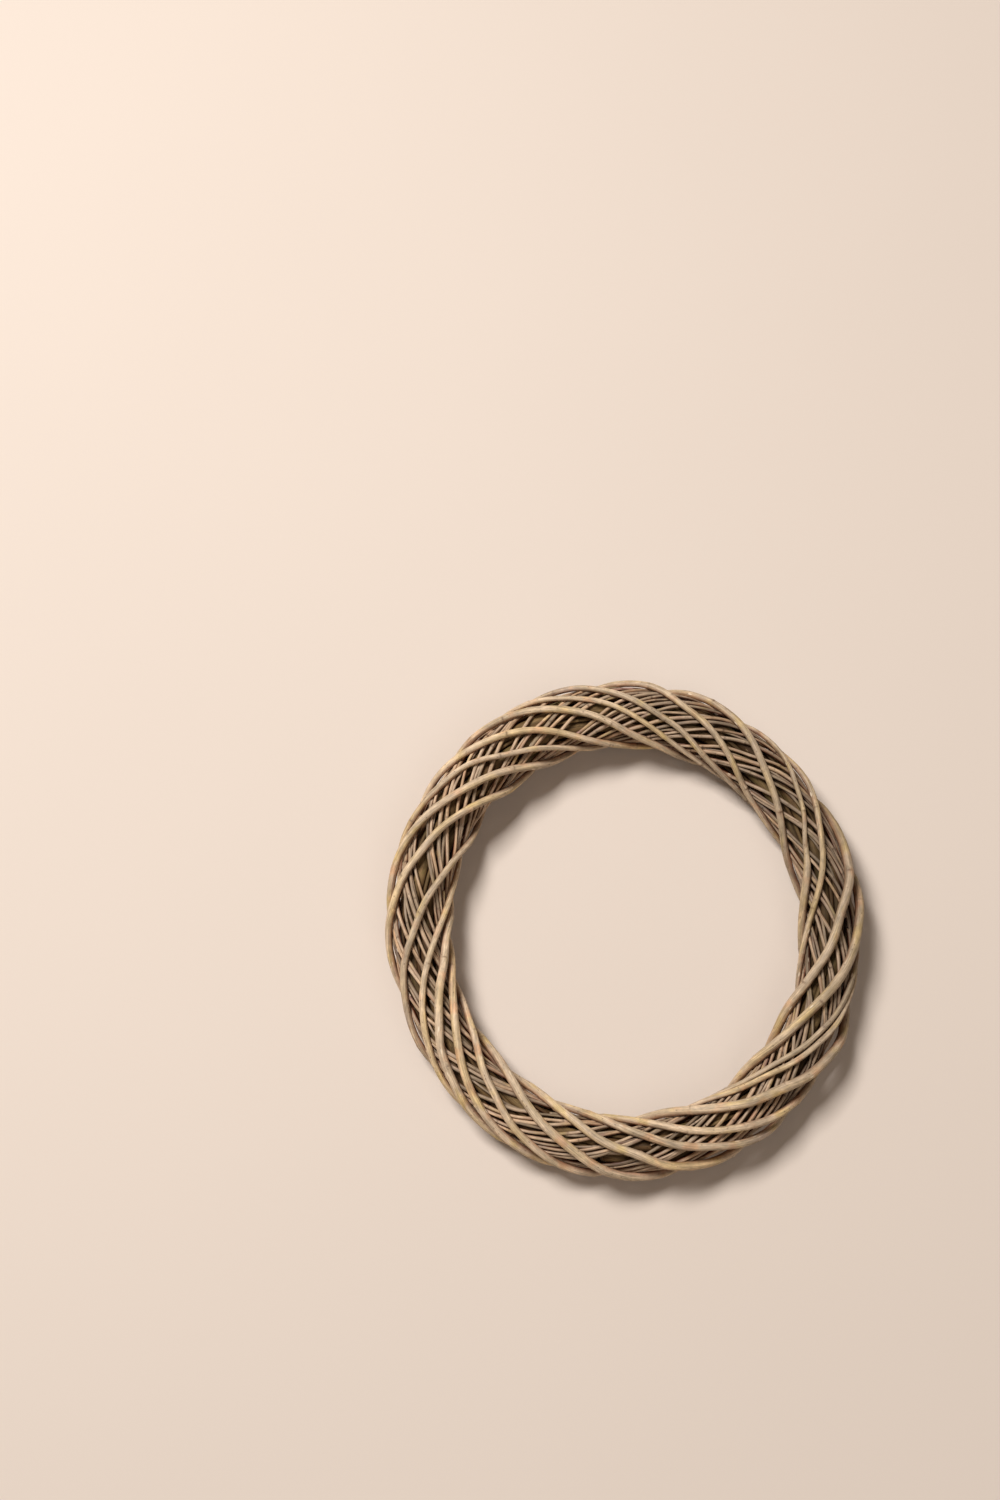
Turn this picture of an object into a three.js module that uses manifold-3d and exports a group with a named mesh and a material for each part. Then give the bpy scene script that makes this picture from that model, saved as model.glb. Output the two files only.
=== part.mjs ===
import * as THREE from 'three';
import Module from 'manifold-3d';
import { mergeVertices } from 'three/addons/utils/BufferGeometryUtils.js';

// Willow wreath: a ring of dried willow, bound up in three layers. A core of thick dark
// sticks runs along the ring. Slim weavers wind round the core. Over them seven light wrap
// rods wind the other way, well apart, so that both inner layers show between them.
//
// Millimetres. The wreath lies on its back: +Z is its front, +Y its top and +X its right.
// u is the place along the ring in clock degrees: 0 at the top, 90 at the right.
// v is the place round the bundle in degrees: 0 at the front, 90 at the ring's outer
// edge, 180 at the back. Rods are followed in turns, one turn being once round the bundle.

const wasm = await Module();
wasm.setup();

// The oval that the middle of the bundle follows
const RING_HALF_WIDTH = 209;
const RING_HALF_HEIGHT = 223;

// Radius of the bundle without the wraps, and its swelling: [waves round the ring, cosine, sine]
const BUNDLE_RADIUS = 25.7;
const BUNDLE_SWELLING = [[1, 2.4, -0.7], [2, 0.7, -0.45]];

// Clear space between two rods that touch
const SEAT_GAP = 0.35;

// Height of the bundle's underside above the ground: room for the thick wraps below it
const WRAP_ROOM = 9.3;

// Where the wraps cross the middle of the front, clockwise, in clock degrees
const WRAP_CROSSINGS = [
  -3.3, 7.3, 23.6, 43.4, 62.5, 72.8, 94.0, 110.8, 125.2, 130.2, 143.5, 159.4, 170.7,
  185.7, 203.5, 220.2, 233.7, 244.5, 255.1, 271.0, 293.2, 306.7, 319.0, 330.6, 345.9,
];
// A wrap comes back to the front seven crossings later
const WRAP_STRANDS = 7;
// Wraps run more along the ring at the front than at the back: clock degrees gained by the edge
const WRAP_FRONT_RUN = 2.4;

// Each wrap rod: the turns where its butt and its tip lie, and its radius at both
const WRAPS = [
  { from: 0.50, to: 4.50, butt: 4.8, tip: 3.5 },
  { from: 4.50, to: 7.50, butt: 5.0, tip: 3.3 },
  { from: 7.50, to: 12.50, butt: 4.9, tip: 2.6 },
  { from: 12.50, to: 15.50, butt: 4.2, tip: 2.8 },
  { from: 15.50, to: 19.50, butt: 4.0, tip: 2.4 },
  { from: 19.50, to: 22.06, butt: 4.0, tip: 2.3 },
  { from: 22.06, to: 25.50, butt: 4.0, tip: 2.5 },
];
// Half of the stretch, in turns, where a tip lies beside the next butt
const WRAP_OVERLAP = 0.03;
// How far from its end, in turns, a rod starts to lean aside for the other
const WRAP_LEAN_LENGTH = 0.22;
// Distance between two wraps side by side for each millimetre between them round the bundle,
// which they cross aslant
const WRAP_SLANT = 0.86;

// Where wraps stand off the bundle at the ring's outer edge: [clock degrees, millimetres]
const BOWS = [[14, 1.6], [86, 2.6], [119, 3.0], [149, 2.8], [268, 2.6], [287, 3.0], [340, 1.2]];
const BOW_WIDTH = 9;

// Most that a wrap stands off the bundle at the back, where it reaches for the ground
const BACK_STANDOFF = 2.4;
// How much of each low wrap is flat where the wreath lies on it
const FLAT_DEPTH = 0.6;

// The weavers: strands side by side, and how often they turn in as many trips round the ring
const WEAVER_STRANDS = 18;
const WEAVER_TURNS = 67;
const WEAVER_RODS = 17;
const WEAVER_BUTT = 2.2;
const WEAVER_TIP = 1.5;
// Clear length, in turns, between a weaver's tip and the next one's butt
const WEAVER_END_GAP = 0.03;
// How the weavers wander sideways: [waves in the whole winding, degrees]
const WEAVER_WANDER = [[17, 1.5], [29, 1.4], [43, 1.1]];
// Weavers end near the back, half a turn from the front, up to this share of a turn apart
const BACK_TURN = 0.5;
const WEAVER_END_SPREAD = 0.5;
// The slimmest weaver, as a share of the thickest
const WEAVER_SLIMMEST = 0.9;
const WEAVER_SEED = 11;

// The core: sticks round a middle one, twisted once round it in one trip
const CORE_RING = 6;
const CORE_STAGGER = 47;
const CORE_END_GAP = 0.6;
// Clear space between two core sticks, and between the core and the weavers
const CORE_GAP = 0.7;
const CORE_CLEARANCE = 0.9;

// Faces round a rod, and steps along it
const WRAP_SIDES = 5;
const WRAP_STEPS_A_TURN = 20;
const WEAVER_SIDES = 4;
const WEAVER_STEPS_A_TURN = 15;
const CORE_SIDES = 6;
const CORE_STEPS = 38;
// A rod's direction is measured over this share of a step before and after each ring of points
const DIRECTION_SHARE = 0.25;
// Points closer than this are one
const MERGE_DISTANCE = 1e-4;

const WRAP_COLOURS = [0xb59c7a, 0xa9947a, 0xbda27c, 0xaa957c, 0xb7a182, 0xb89a76, 0xa8937a];
const WEAVER_COLOUR = 0x9c8a72;
const CORE_COLOUR = 0x54483a;

const UP = new THREE.Vector3(0, 0, 1);
const FULL_TURN = 360;

// Seeded random numbers from 0 to 1, the same in every run: a linear congruential generator
const RANDOM_FACTOR = 1664525;
const RANDOM_STEP = 1013904223;
const RANDOM_RANGE = 2 ** 32;

function randomNumbers(seed) {
  let state = seed;
  return () => {
    state = (state * RANDOM_FACTOR + RANDOM_STEP) % RANDOM_RANGE;
    return state / RANDOM_RANGE;
  };
}

const radians = THREE.MathUtils.degToRad;
const cosine = (degrees) => Math.cos(radians(degrees));
const sine = (degrees) => Math.sin(radians(degrees));

// Radius of the bundle of core and weavers at a place along the ring
function bundleRadius(u) {
  let radius = BUNDLE_RADIUS;
  for (const [waves, cosPart, sinPart] of BUNDLE_SWELLING) {
    radius += cosPart * cosine(waves * u) + sinPart * sine(waves * u);
  }
  return radius;
}

// Radius of the core of thick sticks alone
function coreRadius(u) {
  return bundleRadius(u) - 2 * WEAVER_BUTT - SEAT_GAP;
}

// Middle of the bundle. It lies higher where the bundle is thicker, so the back is level.
function ringMiddle(u) {
  const height = bundleRadius(u) + WRAP_ROOM;
  return new THREE.Vector3(RING_HALF_WIDTH * sine(u), RING_HALF_HEIGHT * cosine(u), height);
}

// Direction from the middle of the bundle to place v on it
function sectionDirection(u, v) {
  const outward = new THREE.Vector3(sine(u) / RING_HALF_WIDTH, cosine(u) / RING_HALF_HEIGHT, 0);
  outward.normalize();
  return outward.multiplyScalar(sine(v)).addScaledVector(UP, cosine(v));
}

function rodMiddle({ u, v, reach }) {
  return ringMiddle(u).addScaledVector(sectionDirection(u, v), reach);
}

// A rod as a closed cylinder bent along its route. The route gives, for t from 0 at the butt
// to 1 at the tip, the rod's place (u, v), its distance from the middle and its radius.
function rodGeometry(route, sides, steps) {
  const geometry = new THREE.CylinderGeometry(1, 1, 1, sides, steps, false, Math.PI / 2);
  const position = geometry.attributes.position;
  const nudge = DIRECTION_SHARE / steps;
  for (let i = 0; i < position.count; i++) {
    const t = position.getY(i) + 0.5;
    const place = route(t);
    const along = rodMiddle(route(t + nudge)).sub(rodMiddle(route(t - nudge))).normalize();
    const away = sectionDirection(place.u, place.v);
    away.addScaledVector(along, -away.dot(along)).normalize();
    const across = new THREE.Vector3().crossVectors(away, along);
    const point = rodMiddle(place);
    point.addScaledVector(away, place.radius * position.getX(i));
    point.addScaledVector(across, place.radius * position.getZ(i));
    position.setXYZ(i, point.x, point.y, point.z);
  }
  return geometry;
}

function rod(name, colour, geometry) {
  geometry.deleteAttribute('uv');
  geometry.computeVertexNormals();
  const material = new THREE.MeshStandardMaterial({ color: colour, roughness: 0.85, metalness: 0 });
  const mesh = new THREE.Mesh(geometry, material);
  mesh.name = name;
  return mesh;
}

// A closed mesh as a solid that can be cut
function toSolid(geometry) {
  const bare = geometry.clone();
  bare.deleteAttribute('normal');
  bare.deleteAttribute('uv');
  const merged = mergeVertices(bare, MERGE_DISTANCE);
  return new wasm.Manifold(new wasm.Mesh({
    numProp: 3,
    vertProperties: new Float32Array(merged.attributes.position.array),
    triVerts: new Uint32Array(merged.index.array),
  }));
}

function fromSolid(solid) {
  const { vertProperties, triVerts } = solid.getMesh();
  const geometry = new THREE.BufferGeometry();
  geometry.setAttribute('position', new THREE.BufferAttribute(new Float32Array(vertProperties), 3));
  geometry.setIndex(new THREE.BufferAttribute(new Uint32Array(triVerts), 1));
  return geometry;
}

// The ground that the wreath lies on, as a thick slab below zero
function groundSolid() {
  const size = 3 * RING_HALF_HEIGHT;
  const depth = 20;
  const slab = new THREE.BoxGeometry(size, size, depth);
  slab.translate(0, 0, -depth / 2);
  return toSolid(slab);
}

// Clock angle of front crossing number n, counted on through every trip round the ring
function crossingAngle(n) {
  const count = WRAP_CROSSINGS.length;
  const trips = Math.floor(n / count);
  return WRAP_CROSSINGS[n - trips * count] + FULL_TURN * trips;
}

// Clock angle of a wrap after so many turns: a smooth curve through its front crossings
function wrapAngle(turns) {
  const whole = Math.floor(turns);
  const f = turns - whole;
  const [a, b, c, d] = [-1, 0, 1, 2].map((step) => crossingAngle((whole + step) * WRAP_STRANDS));
  const straight = 2 * b + (c - a) * f;
  const square = (2 * a - 5 * b + 4 * c - d) * f * f;
  const cube = (3 * b - a - 3 * c + d) * f * f * f;
  return (straight + square + cube) / 2 + WRAP_FRONT_RUN * sine(FULL_TURN * turns);
}

// How far the wraps bow away from the outer edge of the bundle
function bowAt(u, v) {
  let bow = 0;
  for (const [place, height] of BOWS) {
    const away = THREE.MathUtils.euclideanModulo(u - place + FULL_TURN / 2, FULL_TURN) - FULL_TURN / 2;
    bow += height * Math.exp(-((away / BOW_WIDTH) ** 2));
  }
  return bow * Math.max(0, sine(v)) ** 2;
}

// How far a wrap stands off at the back, where the thick ones touch the ground
function backStandOff(v, radius) {
  const short = WRAP_ROOM + FLAT_DEPTH - SEAT_GAP - 2 * radius;
  return THREE.MathUtils.clamp(short, 0, BACK_STANDOFF) * Math.max(0, -cosine(v)) ** 3;
}

// A wrap leans aside near its ends, so that its tip and the next butt lie side by side
function wrapLean(turns, wrap, previousTip, nextButt) {
  const arc = radians(bundleRadius(0) + WRAP_ROOM / 2) * WRAP_SLANT;
  const fade = (turnsAway) => (
    1 - THREE.MathUtils.smoothstep(Math.abs(turnsAway), WRAP_OVERLAP, WRAP_LEAN_LENGTH)
  );
  const atButt = (wrap.butt + previousTip + SEAT_GAP * 2) / 2 / arc * fade(turns - wrap.from);
  const atTip = (wrap.tip + nextButt + SEAT_GAP * 2) / 2 / arc * fade(turns - wrap.to);
  return atButt - atTip;
}

function wrapRod(wrap, index, ground) {
  const previousTip = WRAPS[(index + WRAPS.length - 1) % WRAPS.length].tip;
  const nextButt = WRAPS[(index + 1) % WRAPS.length].butt;
  const start = wrap.from - WRAP_OVERLAP;
  const length = wrap.to + WRAP_OVERLAP - start;
  const route = (t) => {
    const turns = start + length * t;
    const u = wrapAngle(turns);
    const v = wrapLean(turns, wrap, previousTip, nextButt) - FULL_TURN * turns;
    const radius = THREE.MathUtils.lerp(wrap.butt, wrap.tip, t);
    const standOff = bowAt(u, v) + backStandOff(v, radius);
    return { u, v, radius, reach: bundleRadius(u) + SEAT_GAP + radius + standOff };
  };
  const bent = rodGeometry(route, WRAP_SIDES, Math.round(length * WRAP_STEPS_A_TURN));
  const flattened = fromSolid(toSolid(bent).subtract(ground));
  return rod(`wrap_rod_${index + 1}`, WRAP_COLOURS[index], flattened);
}

// The weavers are one long winding, cut into rods near the back of the bundle
function weaverRods() {
  const random = randomNumbers(WEAVER_SEED);
  const phases = WEAVER_WANDER.map(() => FULL_TURN * random());
  const turnsEach = WEAVER_TURNS / WEAVER_RODS;
  const cuts = [];
  for (let i = 0; i < WEAVER_RODS; i++) {
    cuts.push(turnsEach * i + BACK_TURN + WEAVER_END_SPREAD * (random() - 0.5));
  }
  cuts.push(cuts[0] + WEAVER_TURNS);
  const degreesATurn = FULL_TURN * WEAVER_STRANDS / WEAVER_TURNS;
  const wander = (turns) => WEAVER_WANDER.reduce((sum, [waves, size], i) => (
    sum + size * sine(FULL_TURN * waves * turns / WEAVER_TURNS + phases[i])
  ), 0);
  const rods = [];
  for (let i = 0; i < WEAVER_RODS; i++) {
    const length = cuts[i + 1] - cuts[i] - WEAVER_END_GAP;
    const slimness = THREE.MathUtils.lerp(WEAVER_SLIMMEST, 1, random());
    const route = (t) => {
      const turns = cuts[i] + length * t;
      const u = degreesATurn * turns;
      const v = FULL_TURN * turns + wander(turns);
      const radius = slimness * THREE.MathUtils.lerp(WEAVER_BUTT, WEAVER_TIP, t);
      return { u, v, radius, reach: coreRadius(u) + SEAT_GAP + radius };
    };
    const steps = Math.round(length * WEAVER_STEPS_A_TURN);
    rods.push(rod(`weaver_rod_${i + 1}`, WEAVER_COLOUR, rodGeometry(route, WEAVER_SIDES, steps)));
  }
  return rods;
}

// The core sticks: one in the middle, and a ring of them twisted round it
function coreSticks() {
  const sticks = [];
  for (let i = 0; i <= CORE_RING; i++) {
    const middle = i === CORE_RING;
    const route = (t) => {
      const u = CORE_STAGGER * i + (FULL_TURN - CORE_END_GAP) * t;
      const radius = (coreRadius(u) - CORE_CLEARANCE - CORE_GAP) / 3;
      const v = FULL_TURN / CORE_RING * i - u;
      return { u, v, radius, reach: middle ? 0 : 2 * radius + CORE_GAP };
    };
    sticks.push(rod(`core_stick_${i + 1}`, CORE_COLOUR, rodGeometry(route, CORE_SIDES, CORE_STEPS)));
  }
  return sticks;
}

const wreath = new THREE.Group();
const ground = groundSolid();
wreath.add(...coreSticks());
wreath.add(...weaverRods());
wreath.add(...WRAPS.map((wrap, index) => wrapRod(wrap, index, ground)));

// The origin is the middle of the underside
const bounds = new THREE.Box3().setFromObject(wreath, true);
const centre = bounds.getCenter(new THREE.Vector3());
wreath.position.set(-centre.x, -centre.y, -bounds.min.z);

export default wreath;
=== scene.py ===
# %% [markdown]
# A willow wreath, dressed in bark
# The wreath is a ring of dried willow in three layers. Thick dark sticks run along the ring as a core.
# Slim rods, the weavers, wind closely round the core. Over them seven light rods, the wraps, wind the
# other way and hold everything together. The plain model of all these rods is already made, and loading
# it gives the fixed frame that every finer piece has to fit. We keep its box at once, because the
# finished wreath may not be bigger than the plain one.

# %% Load the frame
import math

import bmesh
import bpy
import numpy as np
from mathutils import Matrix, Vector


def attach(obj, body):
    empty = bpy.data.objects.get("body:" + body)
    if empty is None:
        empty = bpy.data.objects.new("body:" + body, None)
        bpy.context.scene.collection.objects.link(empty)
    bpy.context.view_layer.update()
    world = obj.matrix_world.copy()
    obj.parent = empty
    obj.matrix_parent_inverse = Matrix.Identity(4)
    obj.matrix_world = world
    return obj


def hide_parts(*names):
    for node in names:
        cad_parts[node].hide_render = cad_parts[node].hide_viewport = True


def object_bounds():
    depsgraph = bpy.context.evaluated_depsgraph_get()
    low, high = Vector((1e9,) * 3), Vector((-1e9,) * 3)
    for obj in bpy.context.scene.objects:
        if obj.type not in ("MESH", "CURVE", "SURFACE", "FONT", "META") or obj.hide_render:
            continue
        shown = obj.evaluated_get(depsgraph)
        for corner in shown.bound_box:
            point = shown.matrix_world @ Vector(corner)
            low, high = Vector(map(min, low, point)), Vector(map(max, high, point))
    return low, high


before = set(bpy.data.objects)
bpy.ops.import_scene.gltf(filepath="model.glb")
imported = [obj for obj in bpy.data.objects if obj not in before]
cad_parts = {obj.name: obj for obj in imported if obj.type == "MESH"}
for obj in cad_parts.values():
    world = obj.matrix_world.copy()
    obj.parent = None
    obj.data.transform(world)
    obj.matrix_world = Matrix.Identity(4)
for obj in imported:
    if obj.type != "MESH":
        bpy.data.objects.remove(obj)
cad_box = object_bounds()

MM = 0.001
size = [round((high - low) / MM, 1) for low, high in zip(*cad_box)]
print("plain model:", len(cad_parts), "nodes,", size, "mm")

# %% [markdown]
# The camera
# The camera comes first, because everything later is judged through it. The photograph was taken from
# about two metres with the camera level and the wreath leaning back by 16 degrees. Laid on its back,
# the same view of the wreath is a camera that looks down on it with a tilt of 16 degrees. A lens is
# given for the long side of the picture: its angle follows from how the wreath shrinks with distance.

# %% Set up the camera
PHOTO_HEIGHT_PIXELS = 1500
LENS_PIXELS = 1960
SENSOR = 36
CAMERA_PLACE = (-0.127, -0.381, 2.005)
CAMERA_TILT = math.radians(16)

camera_data = bpy.data.cameras.new("camera")
camera_data.sensor_width = SENSOR
camera_data.lens = SENSOR * LENS_PIXELS / PHOTO_HEIGHT_PIXELS
camera = bpy.data.objects.new("camera", camera_data)
camera.location = CAMERA_PLACE
camera.rotation_euler = (CAMERA_TILT, 0, 0)
bpy.context.collection.objects.link(camera)
bpy.context.scene.camera = camera
print("lens:", round(camera_data.lens, 1), "mm")

# %% [markdown]
# The studio
# The wreath lies on a plain pale floor. One large soft lamp stands to the upper left, as in the
# photograph, where the upper left edge of every rod is bright and the lower right one dark. It stands
# well away, so that the floor is lit evenly. A second, weak lamp opposite softens the shadow on the floor.
# The world around fills the shadows only a little, because the depths between the rods are nearly black.
# The standard view transform keeps the colours we give.

# %% Lay the floor and hang the lamps
FLOOR_SIZE = 14.0
FILL_COLOUR = (1.0, 0.74, 0.5, 1)
FILL_STRENGTH = 0.13
LAMP_COLOUR = (1.0, 0.98, 0.96)
LAMPS = (
    ("main_lamp", (-1.8, 1.6, 4.1), 1.5, 242),
    ("weak_lamp", (1.2, -1.7, 3.4), 2.4, 20))

bpy.context.scene.view_settings.view_transform = "Standard"
world = bpy.data.worlds.new("studio")
world.use_nodes = True
background = world.node_tree.nodes["Background"]
background.inputs["Color"].default_value = FILL_COLOUR
background.inputs["Strength"].default_value = FILL_STRENGTH
bpy.context.scene.world = world

for name, place, width, power in LAMPS:
    lamp_data = bpy.data.lights.new(name, "AREA")
    lamp_data.size = width
    lamp_data.energy = power
    lamp_data.color = LAMP_COLOUR
    lamp = bpy.data.objects.new(name, lamp_data)
    lamp.location = place
    lamp.rotation_euler = (-lamp.location).to_track_quat("-Z", "Y").to_euler()
    bpy.context.collection.objects.link(lamp)
    print(name, "stands", round(lamp.location.length, 2), "m from the wreath")

floor_shape = bmesh.new()
bmesh.ops.create_grid(floor_shape, x_segments=1, y_segments=1, size=FLOOR_SIZE / 2)
floor_mesh = bpy.data.meshes.new("floor")
floor_shape.to_mesh(floor_mesh)
floor_shape.free()
floor = bpy.data.objects.new("floor", floor_mesh)
bpy.context.collection.objects.link(floor)
print("floor:", FLOOR_SIZE, "m wide")

# %% [markdown]
# A node graph in a few words
# Every finish below is a graph of nodes. A few helpers keep it readable: they start a material, join two
# sockets, add a node and fill in its values, and blend two colours. A value is a number, a colour or the
# output of another node, which is then joined. A number that is the same all over a surface is set on the
# shader itself. Only what varies over the surface is linked to it.

# %% Helpers for materials
def new_material(name):
    """A fresh material and its shader."""
    material = bpy.data.materials.new(name)
    material.use_nodes = True
    return material, material.node_tree.nodes["Principled BSDF"]


def join(material, output, target):
    material.node_tree.links.new(output, target)


def add_node(material, kind, inputs=None, **settings):
    node = material.node_tree.nodes.new(kind)
    for key, value in settings.items():
        setattr(node, key, value)
    for key, value in (inputs or {}).items():
        if isinstance(value, bpy.types.NodeSocket):
            join(material, value, node.inputs[key])
        else:
            node.inputs[key].default_value = value
    return node


def blend(material, factor, low, high, kind="MIX"):
    """Mixes two colours by a factor. Returns the colour."""
    node = add_node(material, "ShaderNodeMix", {"Factor": factor, "A": low, "B": high},
                    data_type="RGBA", blend_type=kind)
    return node.outputs["Result"]


print("materials so far:", len(bpy.data.materials))

# %% [markdown]
# The floor's paint
# The floor has one pale colour. It would look like empty paper if it were quite even, so a noise lays
# faint clouds on it, about two thirds of a metre wide, where the colour is a shade darker.

# %% Paint the floor
FLOOR_COLOUR = (0.73, 0.635, 0.56, 1)
FLOOR_SHADE = 0.96
FLOOR_CLOUDS = 1.5
FLOOR_ROUGHNESS = 0.75
DULL_SHINE = 0.2

floor_paint, shader = new_material("floor_paint")
place = add_node(floor_paint, "ShaderNodeTexCoord").outputs["Object"]
cloud = add_node(floor_paint, "ShaderNodeTexNoise", {"Vector": place, "Scale": FLOOR_CLOUDS})
darker = tuple(FLOOR_SHADE * part for part in FLOOR_COLOUR[:3]) + (1,)
join(floor_paint, blend(floor_paint, cloud.outputs["Fac"], FLOOR_COLOUR, darker),
     shader.inputs["Base Color"])
shader.inputs["Roughness"].default_value = FLOOR_ROUGHNESS
shader.inputs["Specular IOR Level"].default_value = DULL_SHINE
floor_mesh.materials.append(floor_paint)
print("floor colour:", FLOOR_COLOUR[:3])

# %% [markdown]
# Where things are on a wreath
# Every rod winds round a bundle that runs round a ring, so no rod has a simple shape in x, y and z.
# Two angles make it simple. u says how far round the ring a point is, in clock degrees: 0 at the top,
# 90 at the right. v says where it is round the bundle: 0 at the front, 90 at the outer edge of the
# ring, 180 at the back. The ring is an oval, and its middle lies a little beside the origin, which is the
# middle of the whole wreath. The bundle is a little thicker at the top than at the bottom: its swelling
# is waves round the ring, each with a cosine and a sine part. The bundle lies high enough above the
# ground for the wraps below it. The functions take whole arrays of places at once, because numpy then
# works on them quickly.

# %% The ring and the bundle
RING_HALF_WIDTH = 209 * MM
RING_HALF_HEIGHT = 223 * MM
RING_MIDDLE = (0.381 * MM, -1.415 * MM)
BUNDLE_RADIUS = 25.7 * MM
BUNDLE_SWELLING = ((1, 2.4 * MM, -0.7 * MM), (2, 0.7 * MM, -0.45 * MM))
SEAT_GAP = 0.35 * MM
WRAP_ROOM = 9.3 * MM
FULL_TURN = 360


def sine(degrees):
    return np.sin(np.radians(degrees))


def cosine(degrees):
    return np.cos(np.radians(degrees))


def bundle_radius(u):
    """Radius of core and weavers together."""
    swelling = sum(cosine_part * cosine(waves * u) + sine_part * sine(waves * u)
                   for waves, cosine_part, sine_part in BUNDLE_SWELLING)
    return BUNDLE_RADIUS + swelling


def unit(vectors):
    return vectors / np.linalg.norm(vectors, axis=-1, keepdims=True)


def ring_middle(u):
    x = RING_MIDDLE[0] + RING_HALF_WIDTH * sine(u)
    y = RING_MIDDLE[1] + RING_HALF_HEIGHT * cosine(u)
    return np.stack([x, y, bundle_radius(u) + WRAP_ROOM], axis=-1)


def bundle_direction(u, v):
    """Direction from the middle of the bundle to place v on it."""
    outward = unit(np.stack([sine(u) / RING_HALF_WIDTH, cosine(u) / RING_HALF_HEIGHT, 0 * u], -1))
    return outward * sine(v)[:, None] + np.array([0, 0, 1]) * cosine(v)[:, None]


def wrapped(degrees):
    """The same angle between -180 and 180."""
    return np.mod(degrees + FULL_TURN / 2, FULL_TURN) - FULL_TURN / 2


print("bundle:", round(float(bundle_radius(np.array(0.0))) / MM, 1), "mm in radius at the top")

# %% [markdown]
# The line a rod follows
# A route is a function that gives u, v, the distance from the middle of the bundle and the radius of the
# rod for every t from 0 at the cut butt to 1 at the tip. Before a rod is made, we measure its route,
# because bark, leaf scars and wrinkles come in millimetres and not in parts of a rod. A real rod is never
# a perfect curve. It sways a little from side to side and up and down, and sums of sine waves with seeded
# lengths and phases give just such a slow sway. It dies away towards the ends, which stay in place.

# %% Measure a route and let it sway
MEASURING_STEPS = 6000
SWAY_WAVES = 5
ASIDE_LENGTHS = (60 * MM, 220 * MM)
LIFT_LENGTHS = (50 * MM, 160 * MM)
END_CALM = 25 * MM


def measured(route):
    """The route's t values and the distance along the rod at each."""
    t = np.linspace(0, 1, MEASURING_STEPS)
    u, v, reach, _ = route(t)
    points = ring_middle(u) + bundle_direction(u, v) * reach[:, None]
    steps = np.linalg.norm(np.diff(points, axis=0), axis=1)
    return t, np.concatenate([[0], np.cumsum(steps)])


def sway(along, size, shortest, longest, rng):
    """A smooth random line along the rod, about as high and low as size."""
    line = np.zeros_like(along)
    for _ in range(SWAY_WAVES):
        line += np.sin(2 * np.pi * (along / rng.uniform(shortest, longest) + rng.uniform()))
    return line * size * math.sqrt(2 / SWAY_WAVES)


def rod_line(route, along, total, t, distance, habit, rng):
    """Middle of the rod at each distance along it, its radius and the directions across it."""
    u, v, reach, radius = route(np.interp(along, distance, t))
    away = bundle_direction(u, v)
    middle = ring_middle(u) + away * reach[:, None]
    tangent = unit(np.gradient(middle, along, axis=0))
    away = unit(away - tangent * np.sum(away * tangent, axis=1, keepdims=True))
    across = np.cross(away, tangent)
    calm = np.clip(np.minimum(along, total - along) / END_CALM, 0, 1)[:, None]
    aside = sway(along, habit["sway"], *ASIDE_LENGTHS, rng)[:, None]
    lift = sway(along, habit["lift"], *LIFT_LENGTHS, rng)[:, None]
    middle = middle + calm * (across * aside + away * lift)
    return middle, radius, away, across


print("routes are measured in", MEASURING_STEPS, "steps")

# %% [markdown]
# Leaf scars
# Along every willow rod there is a small scar each few centimetres, where a leaf and its bud sat. The
# scars go round the rod by about two fifths of a turn from each to the next. The place of the first, the
# distance to the next and the size of each are drawn at random, between two shares of the usual one. We
# draw the places first, so that the mesh can be given more rings there and none are wasted on the smooth
# stretches between.

# %% Place the leaf scars
FIRST_SCAR = (0.2, 1)
SCAR_SPACINGS = (0.65, 1.35)
SCAR_SIZES = (0.45, 1)
SCAR_TURN = 0.4
SCAR_TURN_SPREAD = 0.06
BARE_TIP = 10 * MM
SCAR_RINGS = np.array([-7, -4.5, -2.8, -1.6, -0.7, 0, 0.6, 1.2, 2.0]) * MM
FEWEST_RINGS = 8
RINGS_APART = 0.25 * MM


def leaf_scars(total, spacing, rng):
    """Distance along the rod, angle round it and size of each scar."""
    scars = []
    along = rng.uniform(*FIRST_SCAR) * spacing
    angle = rng.uniform()
    while along < total - BARE_TIP:
        scars.append((along, 2 * np.pi * angle, rng.uniform(*SCAR_SIZES)))
        along += spacing * rng.uniform(*SCAR_SPACINGS)
        angle += SCAR_TURN + rng.uniform(-SCAR_TURN_SPREAD, SCAR_TURN_SPREAD)
    return scars


def ring_places(total, step, scars):
    """Distances along the rod at which the mesh gets a ring."""
    places = [np.linspace(0, total, max(FEWEST_RINGS, round(total / step)))]
    places += [along + SCAR_RINGS for along, _, _ in scars]
    places = np.unique(np.clip(np.concatenate(places), 0, total))
    keep = np.concatenate([[True], np.diff(places) > RINGS_APART])
    keep[-1] = True
    return places[keep]


print("a scar is given", len(SCAR_RINGS), "rings of its own")

# %% [markdown]
# The shape of a scar
# A scar is a low shelf: it rises gently from below and drops steeply towards the tip, with a dark rim
# there. The rod is also a little thicker all round it, like a knuckle. All of these are bell curves,
# because they fade into the bark with no edge. Only the points near a scar are worked out.

# %% Shape a leaf scar
SCAR_RISE = 3.4 * MM
SCAR_DROP = 1.0 * MM
SCAR_WIDTH = 0.75 * SCAR_RISE
RIM_PLACE = 0.8 * MM
RIM_LENGTH = 1.1 * MM
KNUCKLE_LENGTH = 4.5 * MM
SCAR_REACH = 14 * MM


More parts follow.
